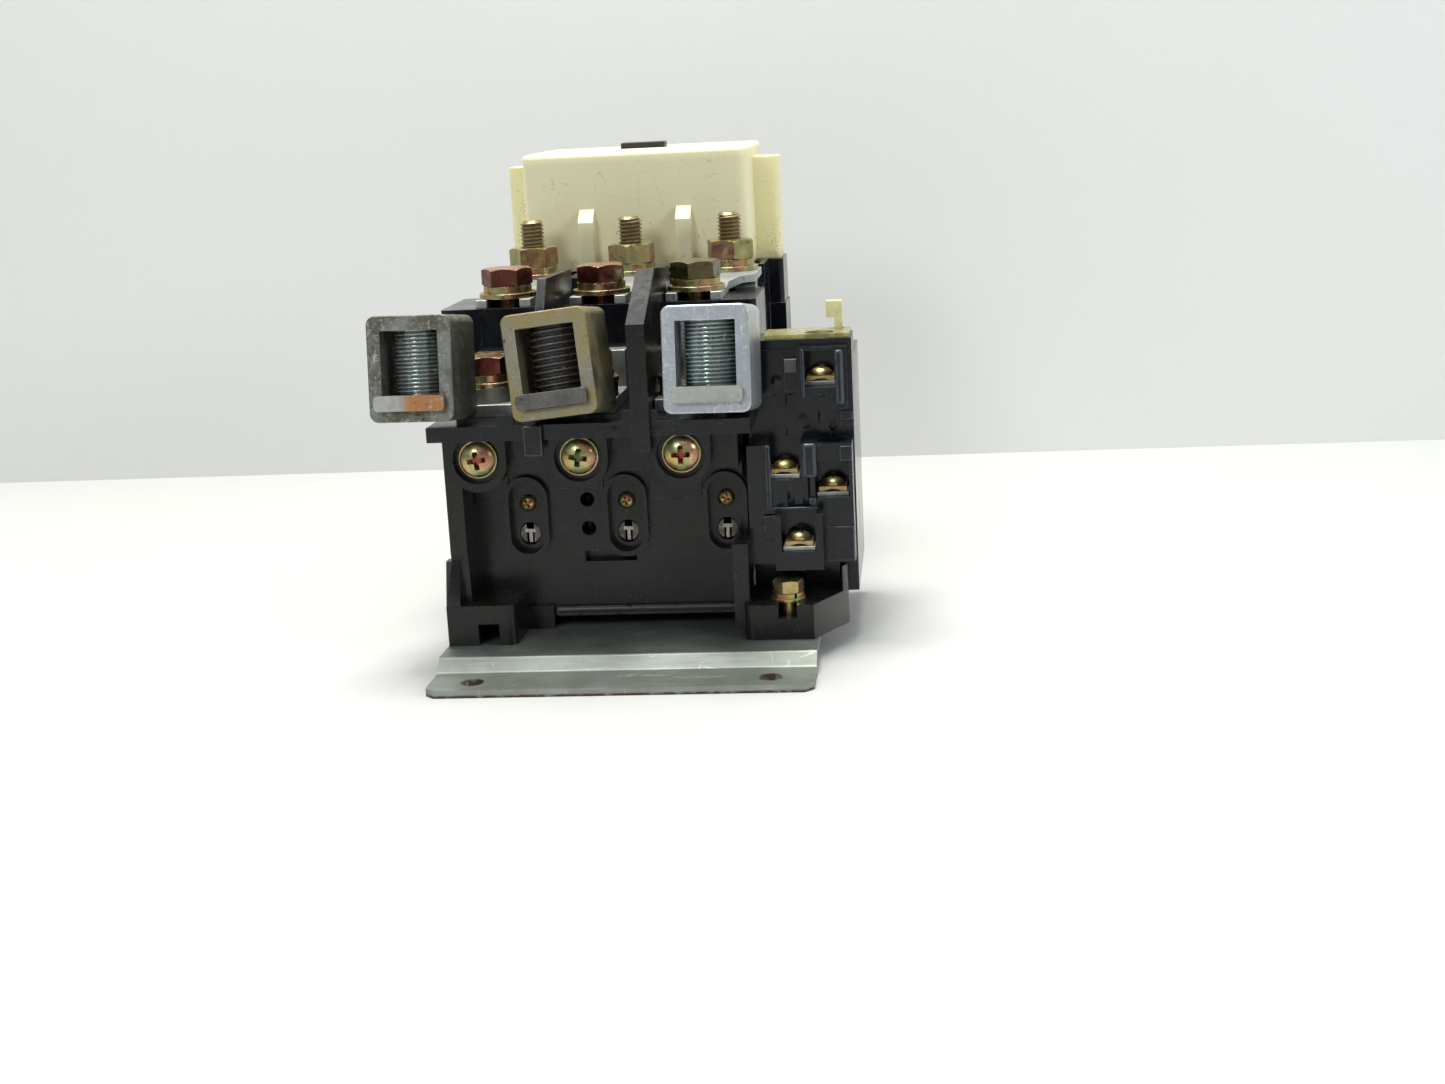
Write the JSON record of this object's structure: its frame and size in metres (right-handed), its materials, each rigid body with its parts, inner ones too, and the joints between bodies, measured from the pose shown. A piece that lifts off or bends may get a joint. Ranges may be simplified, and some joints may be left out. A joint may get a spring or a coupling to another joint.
{
  "type": "magnetic motor starter",
  "caption": "Three-pole contactor joined to a thermal overload relay on a stepped steel base plate, with box lugs on the load side and a side auxiliary contact block.",
  "frame": {"origin": "centre of the base plate's four-hole mounting pattern, on the underside of its flanges", "axes": "+X to the right across the poles as seen from the load side, +Y from the load terminals to the line terminals, +Z away from the panel"},
  "size_m": [0.1359, 0.26, 0.1466],
  "materials": {
    "plate_zinc": "dulled zinc plating with rust at the lower edge",
    "black_moulding": "semi-gloss black moulding, dusty",
    "carrier_moulding": "dark moulding",
    "arc_cover_plastic": "cream moulding, slightly translucent",
    "clear_plastic": "clear plastic",
    "flag_plastic": "pale yellow translucent plastic",
    "dial_plastic": "pale moulding",
    "bar_plating": "dull tin plating",
    "yellow_zinc": "yellow chromate, iridescent",
    "spring_steel": "dull steel",
    "stud_steel": "plated steel",
    "brass": "brass, dusty",
    "lug_steel": "bright plating, scuffed",
    "tongue_copper": "plated copper, copper showing at worn ends",
    "screw_steel": "threaded steel, plated",
    "arc_steel": "plain steel plate",
    "core_steel": "laminated electrical steel",
    "copper": "copper",
    "heater_alloy": "resistance alloy",
    "bobbin_plastic": "natural moulding",
    "rubber": "rubber"
  },
  "bodies": {
    "starter": {"arc_cover": "arc_cover_plastic", "arc_grids": "arc_steel", "aux_housing": "black_moulding", "base_plate": "plate_zinc", "bimetal_strips": "heater_alloy", "coil": "copper", "coil_bobbin": "bobbin_plastic", "contactor_base": "black_moulding", "contactor_frame": "black_moulding", "contactor_screws": "yellow_zinc", "control_clamp_washers": "brass", "control_tap": "bar_plating", "control_terminal_plates": "bar_plating", "control_terminal_screws": "brass", "cushion_pads": "rubber", "dial_window": "clear_plastic", "fixed_core": "core_steel", "fixed_trip_contact": "copper", "flat_washers": "yellow_zinc", "foot_bolt": "yellow_zinc", "front_pan_screws": "yellow_zinc", "front_screw_washers": "yellow_zinc", "heater_screws": "brass", "heater_strips": "heater_alloy", "input_bars": "bar_plating", "input_bolts": "yellow_zinc", "lever_pin": "stud_steel", "line_terminals": "bar_plating", "load_terminals": "bar_plating", "output_bars": "bar_plating", "output_bolts": "yellow_zinc", "phase_barrier_left": "black_moulding", "phase_barrier_right": "black_moulding", "relay_housing": "black_moulding", "relay_rear_cover": "black_moulding", "reset_spring": "spring_steel", "return_springs": "spring_steel", "shading_rings": "copper", "spring_washers": "spring_steel", "stud_nuts": "stud_steel", "terminal_block": "black_moulding", "terminal_studs": "stud_steel"},
    "carrier": {"contact_carrier": "carrier_moulding", "contact_bridges": "copper", "contact_springs": "spring_steel", "armature": "core_steel"},
    "reset": {"reset_flag": "flag_plastic"},
    "dial": {"setting_dial": "dial_plastic"},
    "trip_bar": {"trip_slide": "carrier_moulding"},
    "trip_arm": {"trip_lever": "carrier_moulding", "trip_contact": "copper"},
    "lug_left": {"lug_box_left": "lug_steel", "lug_tongue_left": "tongue_copper"},
    "lug_screw_left": {"lug_screw_left": "screw_steel"},
    "lug_middle": {"lug_box_middle": "lug_steel", "lug_tongue_middle": "tongue_copper"},
    "lug_screw_middle": {"lug_screw_middle": "screw_steel"},
    "lug_right": {"lug_box_right": "lug_steel", "lug_tongue_right": "tongue_copper"},
    "lug_screw_right": {"lug_screw_right": "screw_steel"}
  },
  "joints": [
    {"name": "pull_in", "type": "slide", "parent": "starter", "child": "carrier", "axis": [0, 0, -1], "range_m": [0, 0.005], "stiffness_N_per_m": 400, "springref_m": -0.02, "deforming": ["return_springs"]},
    {"name": "reset_press", "type": "slide", "parent": "starter", "child": "reset", "axis": [0, 0, -1], "range_m": [0, 0.003], "stiffness_N_per_m": 300, "springref_m": -0.003, "deforming": ["reset_spring"]},
    {"name": "setting_turn", "type": "hinge", "parent": "starter", "child": "dial", "pos_m": [0.0452, -0.0625, 0.088], "axis": [0, 0, 1], "range_deg": [-70, 70]},
    {"name": "trip_shift", "type": "slide", "parent": "starter", "child": "trip_bar", "axis": [1, 0, 0], "range_m": [0, 0.0025], "stiffness_N_per_m": 60, "springref_m": -0.003},
    {"name": "trip_swing", "type": "hinge", "parent": "starter", "child": "trip_arm", "pos_m": [0.0444, -0.038, 0.04], "axis": [0, 1, 0], "range_deg": [0, 9.8]},
    {"name": "lug_swivel_left", "type": "hinge", "parent": "starter", "child": "lug_left", "pos_m": [-0.043, -0.067, 0.075], "axis": [0, 0, 1], "range_deg": [-10, 8]},
    {"name": "lug_clamp_left", "type": "slide", "parent": "lug_left", "child": "lug_screw_left", "axis": [0.0064, 0.1217, 0.9925], "range_m": [0, 0.014]},
    {"name": "lug_swivel_middle", "type": "hinge", "parent": "starter", "child": "lug_middle", "pos_m": [-0.013, -0.067, 0.075], "axis": [0, 0, 1], "range_deg": [-2, 6]},
    {"name": "lug_clamp_middle", "type": "slide", "parent": "lug_middle", "child": "lug_screw_middle", "axis": [-0.0947, 0.129, 0.9871], "range_m": [0, 0.014]},
    {"name": "lug_swivel_right", "type": "hinge", "parent": "starter", "child": "lug_right", "pos_m": [0.017, -0.067, 0.075], "axis": [0, 0, 1], "range_deg": [-5, 7]},
    {"name": "lug_clamp_right", "type": "slide", "parent": "lug_right", "child": "lug_screw_right", "axis": [0.0053, 0.1218, 0.9925], "range_m": [0, 0.014]}
  ],
  "couplings": [
    {"joint": "trip_swing", "follows": "trip_shift", "rad_per_m": 68}
  ]
}
